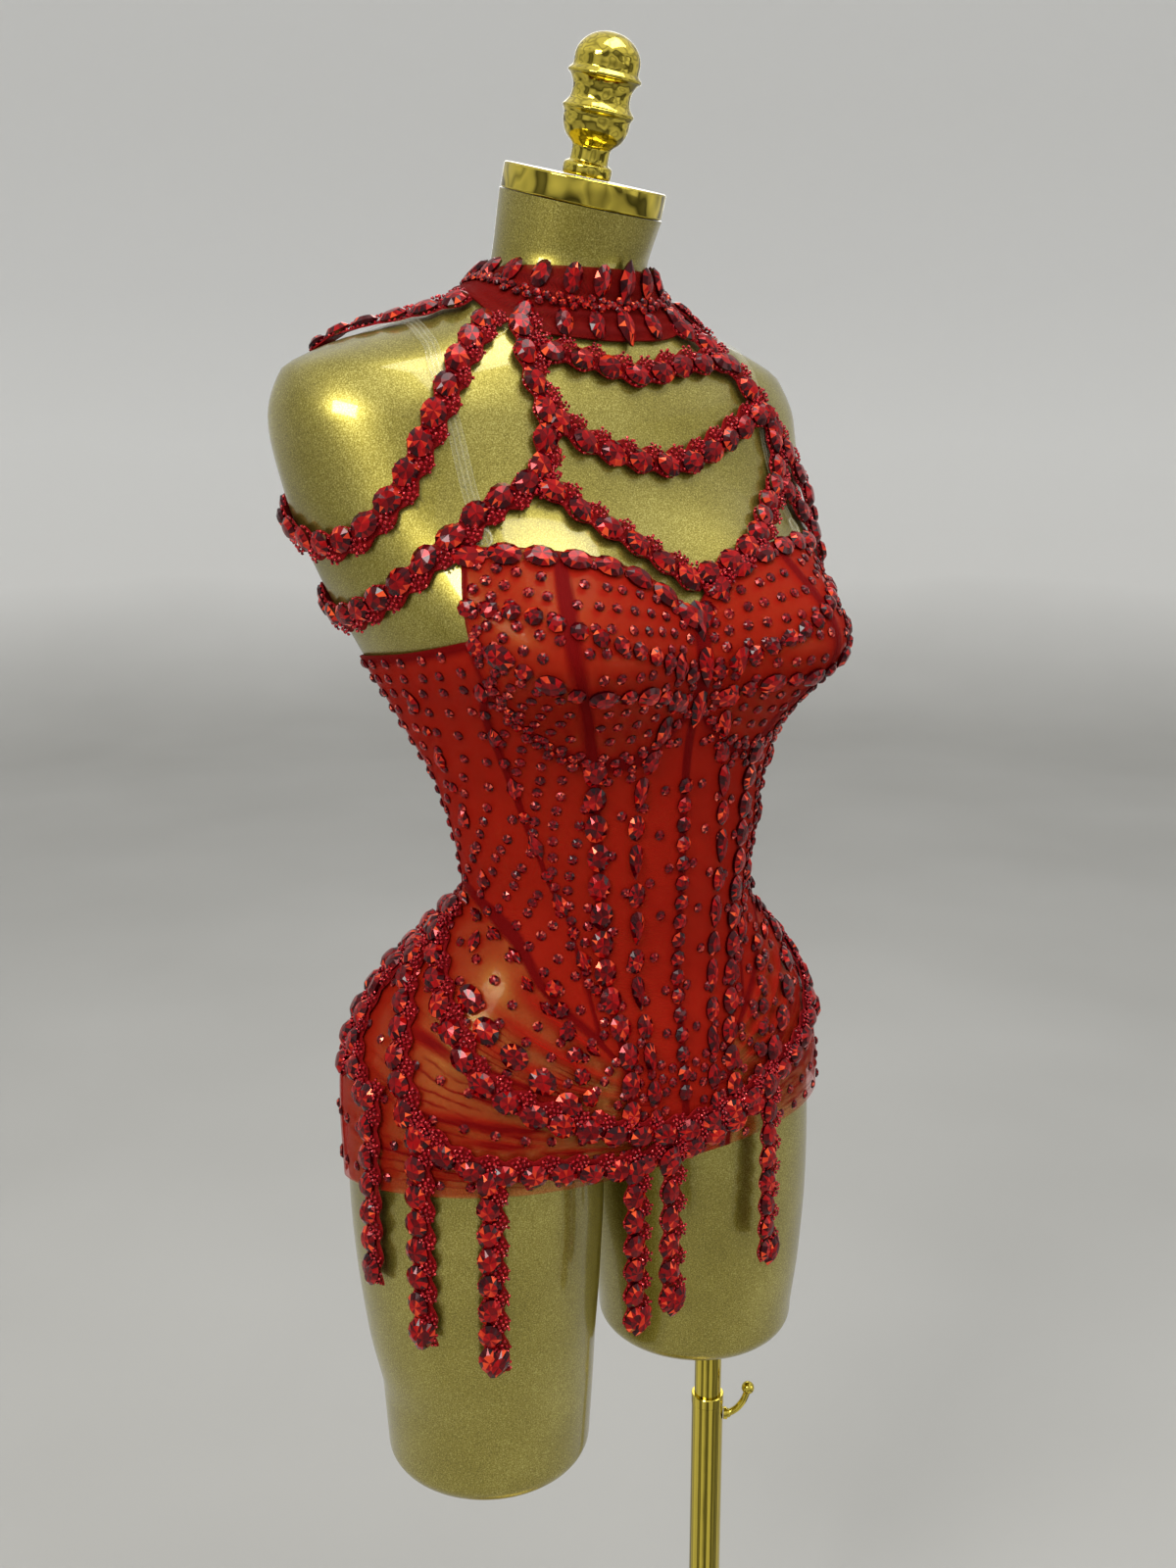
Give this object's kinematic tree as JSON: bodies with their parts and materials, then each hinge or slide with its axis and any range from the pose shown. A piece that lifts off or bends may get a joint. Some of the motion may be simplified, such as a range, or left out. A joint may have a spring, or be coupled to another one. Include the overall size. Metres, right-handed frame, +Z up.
{
  "type": "rhinestone bodysuit on a dress form",
  "caption": "Red stretch-mesh bodysuit with a stone collar, swagged shoulder straps and hip tassels, on a gold dress form with a pole stand.",
  "frame": {"origin": "centre of the round base plate's underside, on the floor", "axes": "+Z up; the form's front faces -Y and its left side is +X"},
  "size_m": [0.4248, 0.38, 1.597],
  "materials": {
    "form_gold": "satin metallic gold paint",
    "chrome_gold": "gold-plated mirror",
    "red_mesh": "sheer stretch mesh",
    "red_stones": "faceted stones on mesh strap",
    "clear_elastic": "clear elastic"
  },
  "bodies": {
    "stand": {"base_plate": "chrome_gold", "pole_flange": "chrome_gold", "pole_outer": "chrome_gold"},
    "lever": {"lock_lever": "chrome_gold"},
    "figure": {"form_body": "form_gold", "neck_cap": "chrome_gold", "finial": "chrome_gold", "pole_inner": "chrome_gold", "cup_outer_right": "red_mesh", "cup_outer_left": "red_mesh", "cup_inner_right": "red_mesh", "cup_inner_left": "red_mesh", "front_right": "red_mesh", "front_left": "red_mesh", "side_front_right": "red_mesh", "side_front_left": "red_mesh", "side_right": "red_mesh", "side_left": "red_mesh", "back_right": "red_mesh", "back_left": "red_mesh", "hip_right": "red_mesh", "hip_left": "red_mesh", "hip_back_right": "red_mesh", "hip_back_left": "red_mesh", "collar": "red_mesh", "clear_strap_right": "clear_elastic", "clear_strap_left": "clear_elastic", "arm_strap": "red_stones", "harness": "red_stones", "hip_straps": "red_stones"}
  },
  "joints": [
    {"name": "height_slide", "type": "slide", "parent": "stand", "child": "figure", "axis": [0, 0, 1], "range_m": [-0.05, 0.2]},
    {"name": "lever_turn", "type": "hinge", "parent": "stand", "child": "lever", "pos_m": [0.1, -0.012, 0.544], "axis": [0.8291, -0.5591, 0], "range_deg": [-90, 90]}
  ]
}
